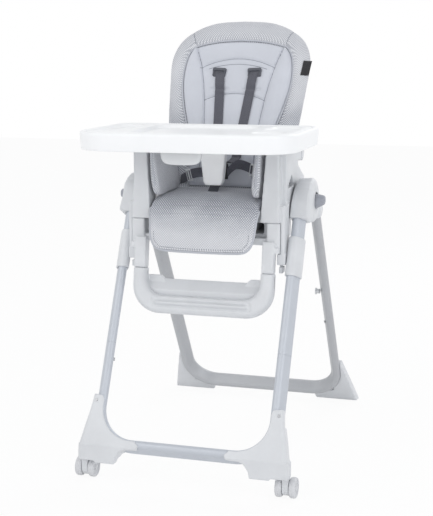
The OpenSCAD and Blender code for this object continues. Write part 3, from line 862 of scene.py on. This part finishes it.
spine = curved([(-46, 645), (-95, 643.5), (-140, 643), (-172, 640), (-197, 631), (-213, 615), (-221, 595),
                (-228, 570), (-233, 548), (-235, 537)], 5)
spine_d = near(spine)
lap_half = [(134, 800), (134, 640), (131.5, 612), (129, 585), (127, 566), (122, 549), (113, 537), (98, 530.5),
            (60, 528.5), (0, 528)]
lap_d = outline(mirrored(curved(lap_half, 4)))
fold = near([(14, -120), (60, -108), (104, -104)])


def cushion_field(x, y, z):
    """A thick quilt along the spine, fuller over the thighs, pinched at its edges and at the roll."""
    flap = np.clip((636 - z) / 60, 0, 1)
    half = 12.5 - 1.5 * flap
    edge = np.clip(-lap_d(x, z) / 46, 0, 1)
    side = np.clip((133 - np.abs(x)) / 60, 0, 1)
    full = np.where(z > 622, side, np.minimum(edge, side))
    half = half * (0.62 + 0.38 * np.sqrt(full))
    half = half + 3.0 * (1 - flap) * np.cos(np.clip(x / 134, -1, 1) * math.pi / 2) * (y < -60)
    d = spine_d(y, z) - half
    # channel where the strap comes up, and soft puckers at the front corners
    hollow = 4 * np.exp(-(x / 17) ** 2 - ((y + 122) / 9) ** 2) * (z > 640)
    crease = 2.2 * np.exp(-(fold(np.abs(x), y) / 4) ** 2) * (z > 640)
    pucker = 1.5 * np.exp(-((np.abs(x) - 112) / 12) ** 2 - ((y + 186) / 12) ** 2) * np.cos(x / 5)
    return smax(d + hollow + crease + pucker, lap_d(x, z), 10)


def spine_length(y, z):
    """Length along the spine of the nearest point on it."""
    pts = np.array(spine)
    run = np.concatenate([[0], np.cumsum(np.linalg.norm(np.diff(pts, axis=0), axis=1))])
    best, out = np.full(len(y), 1e18), np.zeros(len(y))
    for i in range(len(pts) - 1):
        e = pts[i + 1] - pts[i]
        t = np.clip(((y - pts[i][0]) * e[0] + (z - pts[i][1]) * e[1]) / (e @ e), 0, 1)
        d = (y - pts[i][0] - t * e[0]) ** 2 + (z - pts[i][1] - t * e[1]) ** 2
        near_it = d < best
        best[near_it], out[near_it] = d[near_it], (run[i] + t * (run[i + 1] - run[i]))[near_it]
    return out


def behind(y, z):
    """True on the spine's lower and rear side."""
    pts = np.array(spine)
    best, out = np.full(len(y), 1e18), np.zeros(len(y), bool)
    for (ay, az), (by, bz) in zip(pts[:-1], pts[1:]):
        t = np.clip(((y - ay) * (by - ay) + (z - az) * (bz - az)) / ((by - ay) ** 2 + (bz - az) ** 2), 0, 1)
        wy, wz = y - ay - t * (by - ay), z - az - t * (bz - az)
        closer = wy ** 2 + wz ** 2 < best
        best = np.where(closer, wy ** 2 + wz ** 2, best)
        out = np.where(closer, (by - ay) * wz - (bz - az) * wy > 0, out)
    return out


cushion = solid("seat_cushion", cushion_field, (-135, -252, 524), (135, -30, 666), 4, FLAT, WOVEN_SEAT)
rest = local(cushion, FLAT)
held = behind(rest[:, 1], rest[:, 2]) | (np.abs(lap_d(rest[:, 0], rest[:, 2])) < 7)
puff(cushion, held.astype(float), 5)
cushion = subdivided(cushion)
x, y, z = local(cushion, FLAT).T
lay_uv(cushion, np.stack([x, spine_length(y, z)], 1) * MM)
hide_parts("seat_pad", "leg_rest_pad")
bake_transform(cushion)


def spine_at(z):
    pts = [(b, a) for a, b in spine if b < 640]
    return float(np.interp(z, [q[0] for q in reversed(pts)], [q[1] for q in reversed(pts)]))


rim = [(px, pz) for px, pz in curved(lap_half, 5) if pz < 634]
rim_path = [(px, spine_at(pz) - 1.5, pz) for px, pz in rim]
rim_path += [(-px, py, pz) for px, py, pz in reversed(rim_path[:-1])]
edge_bead = tube_along("cushion_piping", rim_path, 3.1, PIPING)
edge_bead = subdivided(edge_bead)
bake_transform(edge_bead)

# running stitch just inside the flap's hem
hem = curved([(-117, 575), (-115, 556), (-106, 545), (-92, 539), (0, 536.5), (92, 539), (106, 545), (115, 556),
              (117, 575)], 12)
run = np.concatenate([[0], np.cumsum([math.dist(p, q) for p, q in zip(hem, hem[1:])])])
stitches = []
for start in np.arange(0, run[-1] - 4, 5.6):
    stitches.append([tuple(np.interp(start + k, run, [q[i] for q in hem]) for i in (0, 1))
                     for k in (0, 1.6, 3.2)])
hem_stitches = seam("hem_stitches", cushion, FLAT, stitches, None, 0.75, 0.1)
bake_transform(hem_stitches)

# ---- side pads ------------------------------------------------------------------

pad_edge = curved([(-190, 656), (-120, 655), (-54, 656), (-46, 678), (-48, 716), (-100, 752), (-150, 764),
                   (-198, 769), (-206, 760), (-205, 692)], 4, closed=True)
pad_d = outline(pad_edge)


def side_pad_piece(s, suffix):
    def field(x, y, z):
        d = pad_d(y, z)
        full = np.sqrt(np.clip(-d / 34, 0, 1))
        inner = np.interp(z, [655, 680, 720, 765], [115, 114, 120, 127]) - 3 * full
        outer = np.interp(z, [655, 690, 765], [129, 134, 136])
        return smax(smax(inner - x * s, x * s - outer, 5), d, 6)
    reach = sorted((s * 107, s * 137))
    pad = subdivided(solid("side_pad_cover_" + suffix, field, (reach[0], -208, 652), (reach[1], -44, 772),
                           3, FLAT, WOVEN))
    c = local(pad, FLAT)
    lay_uv(pad, np.stack([c[:, 1] - s * c[:, 0], c[:, 2]], 1) * MM)
    dress(pad, "seat", "woven_fabric", "side_pad_" + suffix)
    front = [(s * (122 + 10 * t), -192 - 14 * min(1, t * 3.3), 658 + 109 * t) for t in np.linspace(0, 1, 16)]
    front += [(s * 132, -203 + 55 * t, 768.5 - 4 * t) for t in np.linspace(0.1, 1, 6)]
    pipe = tube_along("side_piping_" + suffix, front, 2.6, PIPING)
    dress(pipe, "seat", "smooth_fabric")


sides(side_pad_piece)

# ---- harness on the seat --------------------------------------------------------


def waist(s, suffix):
    base = curved([(s * 24, -95, 702), (s * 47, -88, 722 if s > 0 else 701), (s * 73, -71, 714 if s > 0 else 695),
                   (s * 95, -56, 694 if s > 0 else 684), (s * 113, -40, 682 if s > 0 else 676)], 8)
    lean = [(0.25 * s * math.sin(i * 0.12), -0.15, 1.0) for i in range(len(base))]
    strap = ribbon("waist_strap_" + suffix, base, lean, 24, 2.2, WEB)
    strap = subdivided(strap)
    dress(strap, "seat", "webbing", *(["waist_straps"] if s < 0 else []))
    i = int(len(base) * 0.6)
    ahead = Vector(base[i + 1]) - Vector(base[i - 1])
    across = Vector(lean[i]).normalized()
    ahead = (ahead - across * ahead.dot(across)).normalized()
    out = ahead.cross(across)
    place = Matrix.Translation(base[i]) @ Matrix((
        (ahead.x, out.x, across.x, 0), (ahead.y, out.y, across.y, 0), (ahead.z, out.z, across.z, 0),
        (0, 0, 0, 1)))

    def slide(x, y, z):
        rim = rbox(x, y, z, (-9, -3.2, -16), (9, 3.2, 16), 2.6)
        holes = [rbox(x, y, z, (x0, -5, -12.5), (x0 + 5, 5, 12.5), 1) for x0 in (-7, 2)]
        return smax(rim, -np.minimum(*holes), 1)
    adjuster = solid("strap_adjuster_" + suffix, slide, (-10, -4, -17), (10, 4, 17), 1.1, place, GREY_SMOOTH)
    dress(adjuster, "seat", "grey_plastic")


sides(waist)

crotch_path = curved([(-5, -122.5, 636), (-5, -122.5, 650), (-4.5, -117, 661), (-2, -98, 677), (0, -91, 686),
                      (0, -90, 692)], 5)
crotch = ribbon("crotch_webbing", crotch_path, np.tile([1.0, 0, 0], (len(crotch_path), 1)), 25, 2.2, WEB)
dress(crotch, "seat", "webbing", "crotch_strap")


def buckle_field(x, y, z):
    shield = extruded(outline([(-24, 686), (24, 686), (26, 700), (25, 722), (17, 731), (-17, 731), (-25, 722),
                               (-26, 700)])(x, z), y, -96.6, -82.5, 4.5)
    well = rod(x, z - 708, y, -110, -89.5, 10.2, 0.5)
    return smax(shield, -well, 1.5)


buckle = solid("harness_buckle", buckle_field, (-27, -98, 685), (27, -81, 733), 1.2, FLAT, BLACK)
dress(buckle, "seat", "black_plastic", "buckle")

# ---- tray -----------------------------------------------------------------------

tray_low, tray_high = (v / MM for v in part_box("tray"))
tray_y = (tray_low.y + tray_high.y) / 2
tray_z = tray_low.z
tray_w, tray_d, tray_h = tray_high.x - tray_low.x, tray_high.y - tray_low.y, tray_high.z - tray_low.z


def tray_ring(inset, height):
    """One closed loop of the tray's outline, that far inside it and that high above its foot."""
    loop = []
    w, d = tray_w / 2 - inset, tray_d / 2 - inset
    front, back = max(85 - inset, 4), max(48 - inset, 4)
    for cx, cy, r, start in ((w - back, d - back, back, 0), (-w + back, d - back, back, 90),
                             (-w + front, -d + front, front, 180), (w - front, -d + front, front, 270)):
        for t in range(19):
            a = math.radians(start + t * 5)
            loop.append((cx + r * math.cos(a), cy + r * math.sin(a)))
    fine = []
    for (x0, y0), (x1, y1) in zip(loop, loop[1:] + loop[:1]):
        steps = 14 if math.hypot(x1 - x0, y1 - y0) > 60 else 1
        fine += [(x0 + (x1 - x0) * k / steps, y0 + (y1 - y0) * k / steps) for k in range(steps)]
    shaped = []
    for x, y in fine:
        bow = 4 * (1 - (x / (tray_w / 2)) ** 2) if y < 0 else 0
        fade = min(1, -y / 150)
        shaped.append((x, tray_y + y - bow * fade + 4 * (y < 0) * fade, tray_z + height))
    return shaped


def lofted(name, loops, material):
    """Joins loops of equal length into one skin, closed at both ends."""
    start, end = caps(len(loops), len(loops[0]))
    faces = [start[::-1]] + skin(len(loops), len(loops[0])) + [end]
    return new_object(name, np.array([q for loop in loops for q in loop]) * MM, faces, material)


section = [(6.4, 24), (6.2, 10), (5.8, 1.2), (5.2, 0.5), (4.6, 0.2), (4.0, 0.3), (3.3, 1.0), (2.9, 3), (2.0, 12),
           (1.0, 24), (0.3, 33), (0.3, 35.5), (0.9, 38.0), (2.2, 40.2), (4.2, 41.5), (6.6, 42), (9.5, 41.9),
           (12, 41.3), (14, 40.0), (15.2, 37.8), (15.6, 34), (15.8, 29.3), (17.5, 29.2)]
tray_piece = lofted("tray_shell", [tray_ring(*q) for q in section], WHITE)
dress(tray_piece, "tray", "white_plastic", "tray")


def step_down(d, soft):
    """0 outside an outline, 1 well inside it."""
    t = np.clip(-d / soft, 0, 1)
    return t * t * (3 - 2 * t)


def liner_height(x, y):
    """Height of the liner's top above the tray's foot."""
    yy = y - tray_y
    low = 8.8 * step_down(rounded(262, 270, 46)(x + 10, yy - 6), 5)
    low = low + 6.4 * step_down(rounded(70, 230, 28)(x + 198, yy - 6), 5)
    low = low + 8.6 * step_down(np.hypot(x - 186, yy + 78) - 38, 6)
    low = low + 5.6 * step_down(rounded(78, 130, 28)(x - 184, yy - 68), 8)
    ring = 1.4 * np.exp(-((np.hypot(x - 186, yy + 78) - 42) / 2.2) ** 2)
    return tray_h - 1.2 - low + ring


def liner_sheet(rows, columns):
    """Top and underside of the liner as one closed grid, its columns drawn in at the round corners."""
    edge = sorted((y, x) for x, y, _ in tray_ring(17.2, 0) if x > 100)
    first, last = edge[0][0], edge[-1][0]
    t = np.linspace(0, 1, rows)
    lines = first + (last - first) * (0.65 * t + 0.35 * (1 - np.cos(math.pi * t)) / 2)
    top, bottom = [], []
    for row in lines:
        half = float(np.interp(row, [q[0] for q in edge], [q[1] for q in edge]))
        x = np.linspace(-half, half, columns)
        across = np.full(columns, row)
        rim = np.maximum(np.minimum(half - np.abs(x), min(row - first, last - row)), 0)
        top.append(np.stack([x, across, tray_z + liner_height(x, across) - 2.2 * np.exp(-rim / 1.6)], 1))
        bottom.append(np.stack([x, across, np.full(columns, tray_z + tray_h - 12.6)], 1))
    grid = np.arange(rows * columns).reshape(rows, columns)
    quads = np.stack([grid[:-1, :-1], grid[:-1, 1:], grid[1:, 1:], grid[1:, :-1]], -1).reshape(-1, 4)
    under = quads[:, ::-1] + rows * columns
    border = np.concatenate([grid[0, :-1], grid[:-1, -1], grid[-1, :0:-1], grid[:0:-1, 0]])
    ahead = np.roll(border, -1)
    wall = np.stack([ahead, border, border + rows * columns, ahead + rows * columns], 1)
    return np.concatenate(top + bottom), np.concatenate([quads, under, wall])


liner_points, liner_faces = liner_sheet(130, 190)
liner = new_object("tray_liner", liner_points * MM, liner_faces, WHITE)
dress(liner, "tray_insert", "white_plastic", "tray_insert")


post_edge = curved([(-19, 675.6), (0, 675.2), (19, 675.6)], 3)
post_edge += curved([(24, 684), (26.5, 705), (31.5, 750)], 4)
post_edge += [(32, 803), (-32, 803)] + curved([(-31.5, 750), (-26.5, 705), (-24, 684)], 4)
post_d = outline(post_edge)


def post_field(x, y, z):
    thick = 12.7 - 1.2 * (x / 32) ** 2
    return smax(smax(post_d(x, z), np.abs(y + 125) - thick, 4), z - 802.3, 1)


post_piece = solid("crotch_guard", post_field, (-34, -140, 674), (34, -110, 804), 2, FLAT, WHITE)
dress(post_piece, "tray", "white_plastic", "crotch_post")


release_d = outline(curved([(-46, 800), (46, 800), (47, 772), (43, 757), (30, 749.5), (0, 748), (-30, 749.5),
                            (-43, 757), (-47, 772)], 4, closed=True))


def release_field(x, y, z):
    return smax(smax(release_d(x, z), np.abs(y + 375) - 8.6, 7), z - 802.3, 2)


release = solid("tray_release_lever", release_field, (-48, -385, 747), (48, -365, 804), 2.2, FLAT,
                GREY_SMOOTH)
dress(release, "tray_release", "grey_plastic", "tray_release")

# ---- moulded shells and metal ---------------------------------------------------

for node in nodes:
    finish_node(GREY, node)
finish_node(TUBE, "front_upper_tube_l", "front_upper_tube_r", "front_lower_frame")
# the rear frame's tubes take the darker copy of the tube finish, as painted shade
finish_node(REAR_TUBE_SHADED, "rear_upper_tube_l", "rear_upper_tube_r", "rear_lower_frame")
finish_node(STEEL, "foot_screws", "rear_foot_screws", "hub_pins", "leg_rest_pin", "recline_pins",
            "caster_axle_l", "caster_axle_r", "front_snap_buttons", "rear_snap_buttons")
finish_node(GREY_SMOOTH, "tray_pegs")
finish_node(BLACK, "buckle_button")


def domed(points):
    """Rounds a hub's rim off like a cushion and sinks a dish for its button."""
    q = points.copy()
    centre = np.array([HUB[1] - 3, HUB[2] + 3])
    away = q[:, 1:] - centre
    far = np.maximum(np.linalg.norm(away, axis=1), 1)
    across = np.abs(q[:, 0])
    top = np.clip((q[:, 2] - (HUB[2] - 42)) / 40, 0, 1)
    rim = np.clip((far - 22) / 24, 0, 1)
    upward = np.clip(away[:, 1] / far * 1.6, 0, 1)
    u = np.clip((across - 219) / 22, 0, 1)
    v = np.clip((213 - across) / 19, 0, 1)
    shrink = (1 - np.sqrt(1 - u ** 2)) * (8 + 14 * top) + (1 - np.sqrt(1 - 0.96 * v ** 2)) * 20 * upward
    q[:, 1:] -= away / far[:, None] * (shrink * rim)[:, None]
    dish = np.clip((22 - np.hypot(points[:, 1] - HUB[1], points[:, 2] - HUB[2])) / 2.5, 0, 1)
    sunk = np.minimum(across, 241 - 10.5 * dish)
    q[:, 0] = np.sign(q[:, 0]) * np.where(across > 225, sunk, across)
    return q


def turned(name, profile, material, s, lift=0.0, count=48):
    """A lathe-turned piece about a hub's axis from (x, radius) pairs, its outer end raised by lift."""
    first, last = profile[0][0], profile[-1][0]
    points = []
    for px, pr in profile:
        for i in range(count):
            a = 2 * math.pi * i / count
            rise = lift * (px - first) / (last - first)
            points.append((s * px, HUB[1] + pr * math.cos(a), HUB[2] + pr * math.sin(a) + rise))
    start, end = caps(len(profile), count)
    faces = skin(len(profile), count) + [start[::-1], end]
    return new_object(name, np.array(points) * MM, faces if s > 0 else [f[::-1] for f in faces], material)


def fold_knob(s, suffix):
    profile = [(237.3, 17.2), (239, 17.6), (241.5, 17.4), (246, 16.2), (252, 14.2), (257, 12.4), (260, 11),
               (261.6, 9.2), (262.3, 6), (262.4, 1)]
    knob = turned("fold_knob_" + suffix, profile, DARK, s, 4)
    dress(knob, "fold_button_" + suffix, "dark_grey_plastic", "fold_button_" + suffix)


sides(fold_knob)

# name, solid and body, with * for the side, then voxel, rounds, material, share of faces kept and growth
for side in ("l", "r"):
    for name, node, body, *how in (
            ("hub_shell_*", "hub_housing_*", "front_frame", 1.6, 9, None, 0.4, 0.3, domed),
            ("hub_lever_*", "hub_arm_*", "rear_frame"),
            ("sleeve_shell_*", "slider_sleeve_*", "seat", 1.4, 6, None, 0.35, 0.3),
            ("front_shoe_*", "front_foot_*", "front_frame", 1.5, 9, None, 0.35, 0.5),
            ("rear_shoe_*", "rear_foot_*", "rear_frame", 1.5, 8, None, 0.35, 0.4),
            ("side_frame_*", "seat_side_*", "seat"),
            ("height_lever_*", "height_release_*", "height_release_*", 1.0, 5),
            ("caster_fork_*", "caster_body_*", "caster_*", 1.0, 5)):
        moulding(name.replace("*", side), [node.replace("*", side)], body.replace("*", side), "grey_plastic", *how)


def bar_relief(points):
    """Rounds the footrest's hoop and presses a grooved grip into its front bar."""
    q = placed(points, FOOT.inverted())
    x, y, z = q.T
    edge = np.maximum(rounded(348, 187, 67)(x, z + 83.5), -rounded(283, 114, 44)(x, z + 76))
    inward = np.clip(-edge, 0, 15)
    front = np.clip((-20 - y) / 12, 0, 1)
    q[:, 1] += front * (15 - np.sqrt(np.maximum(15 ** 2 - (15 - inward) ** 2, 0)))
    panel = np.clip(-rounded(250, 25, 9)(x, z + 149.5) / 3, 0, 1)
    rib = np.clip(-rounded(226, 11, 5)(x, z + 149.5) / 4, 0, 1)
    q[:, 1] += (y < -30) * (3.2 * panel - 4.2 * np.sqrt(rib))
    return placed(q, FOOT)


moulding("footrest_shell", ["footrest"], "footrest", "grey_plastic", 1.5, 7, None, 0.6, 0.0, bar_relief)
moulding("seat_pan", ["seat_base"], "seat", "grey_plastic", 2.0, 6)
moulding("arm_ends", ["arm_caps"], "seat", "grey_plastic", 1.4, 6)
moulding("back_shell", ["backrest_shell"], "backrest", "grey_plastic", 1.8, 4)
moulding("recline_lever", ["recline_handle"], "recline_handle", "dark_grey_plastic",
         1.2, 6, DARK, 0.35, -0.7)
moulding("flap_panel", ["leg_rest_panel"], "leg_rest", "grey_plastic", 1.6, 6)

# ---- caster wheels --------------------------------------------------------------


def wheel_piece(side, which):
    low, high = (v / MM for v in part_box("caster_wheel_%s_%s" % (side, which)))
    mid = (low + high) / 2
    outward = 1 if (mid.x > 0) == (which == "outer") else -1
    half = (high.x - low.x) / 2

    def field(x, y, z):
        u = (x - mid.x) * outward
        r = np.hypot(y - mid.y, z - mid.z)
        tyre = smax(r - 24 + 0.02 * u * u, np.abs(u) - half + 0.3, 4)
        dish = smax(np.abs(r - 12.5) - 5.5, 0.5 * half - u, 2)
        line = 1.2 * np.exp(-((r - 19.5) / 0.9) ** 2) * (u > 0)
        return smax(tyre + line, -dish, 2)
    wheel = solid("wheel_%s_%s" % (side, which), field, tuple(low), tuple(high), 1.2, FLAT, WHEEL)
    dress(wheel, "wheel_%s_%s" % (side, which), "caster_wheel", "caster_wheel_%s_%s" % (side, which))


for side in ("l", "r"):
    for which in ("outer", "inner"):
        wheel_piece(side, which)

# ---- camera, light and floor ----------------------------------------------------

view_az, view_el, roll = math.radians(16.5208), math.radians(10.455), -0.0031
eye = (0.79645, -2.77950, 1.00636)
ahead = Vector((-math.sin(view_az) * math.cos(view_el), math.cos(view_az) * math.cos(view_el),
                -math.sin(view_el)))
right = Vector((math.cos(view_az), math.sin(view_az), 0))
up = right.cross(ahead)
right, up = math.cos(roll) * right + math.sin(roll) * up, -math.sin(roll) * right + math.cos(roll) * up
camera = bpy.data.objects.new("camera", bpy.data.cameras.new("camera"))
scene.collection.objects.link(camera)
camera.matrix_world = Matrix([*zip(right, up, -ahead, eye), (0, 0, 0, 1)])
camera.data.sensor_fit = "AUTO"
camera.data.sensor_width = 36
camera.data.lens = 80.23
camera.data.shift_x, camera.data.shift_y = -1.31 / 516, 0.15 / 516
camera.data.clip_start, camera.data.clip_end = 0.05, 60
scene.camera = camera


def area_light(name, place, target, size, power, colour=(1, 1, 1)):
    data = bpy.data.lights.new(name, "AREA")
    data.shape, data.size, data.energy, data.color = "DISK", size, power, colour
    lamp = bpy.data.objects.new(name, data)
    scene.collection.objects.link(lamp)
    lamp.location = place
    lamp.rotation_mode = "QUATERNION"
    lamp.rotation_quaternion = (Vector(target) - Vector(place)).to_track_quat("-Z", "Y")


area_light("key", (-1.9, -2.6, 3.0), (0, 0, 0.55), 2.6, 24, (1.0, 0.99, 0.97))
area_light("fill", (2.8, -1.9, 1.3), (0, 0, 0.55), 2.4, 17, (0.98, 0.99, 1.0))
area_light("front", (0.2, -3.4, 0.9), (0, 0, 0.6), 2.2, 5)
area_light("rim", (1.2, 2.6, 2.6), (0, 0, 0.6), 2.0, 22)

world = bpy.data.worlds.new("studio")
scene.world = world
world.use_nodes = True
tree = world.node_tree
background = tree.nodes["Background"]
background.inputs["Color"].default_value = (0.97, 0.98, 1.0, 1)
background.inputs["Strength"].default_value = 0.74
white = tree.nodes.new("ShaderNodeBackground")
white.inputs["Color"].default_value = (1, 1, 1, 1)
white.inputs["Strength"].default_value = 1.0
rays = tree.nodes.new("ShaderNodeLightPath")
seen = tree.nodes.new("ShaderNodeMath")
seen.operation = "MAXIMUM"
seen_more = tree.nodes.new("ShaderNodeMath")
seen_more.operation = "MAXIMUM"
choose = tree.nodes.new("ShaderNodeMixShader")
tree.links.new(rays.outputs["Is Camera Ray"], seen.inputs[0])
tree.links.new(rays.outputs["Is Transmission Ray"], seen.inputs[1])
tree.links.new(seen.outputs[0], seen_more.inputs[0])
tree.links.new(rays.outputs["Is Glossy Ray"], seen_more.inputs[1])
tree.links.new(seen_more.outputs[0], choose.inputs["Fac"])
tree.links.new(background.outputs[0], choose.inputs[1])
tree.links.new(white.outputs[0], choose.inputs[2])
tree.links.new(choose.outputs[0], tree.nodes["World Output"].inputs["Surface"])

floor = new_object("floor", [(-9, -9, -0.0006), (9, -9, -0.0006), (9, 9, -0.0006), (-9, 9, -0.0006)],
                   [(0, 1, 2, 3)], None, smooth=False)
p = Paint("floor", Base_Color=(0.9, 0.9, 0.9, 1), Roughness=0.85)
lit = p.add("Emission", {"Color": (1, 1, 1, 1), "Strength": 1.0})
path = p.add("LightPath")
seen = p.maths("MAXIMUM", path.outputs["Is Camera Ray"], path.outputs["Is Glossy Ray"])
share = p.maths("MULTIPLY", seen, 0.92)
both = p.add("MixShader", {0: share, 1: p.shader.outputs[0], 2: lit.outputs[0]})
p.tree.links.new(both.outputs[0], p.tree.nodes["Material Output"].inputs["Surface"])
floor.data.materials.append(p.material)

scene.view_settings.view_transform = "Standard"
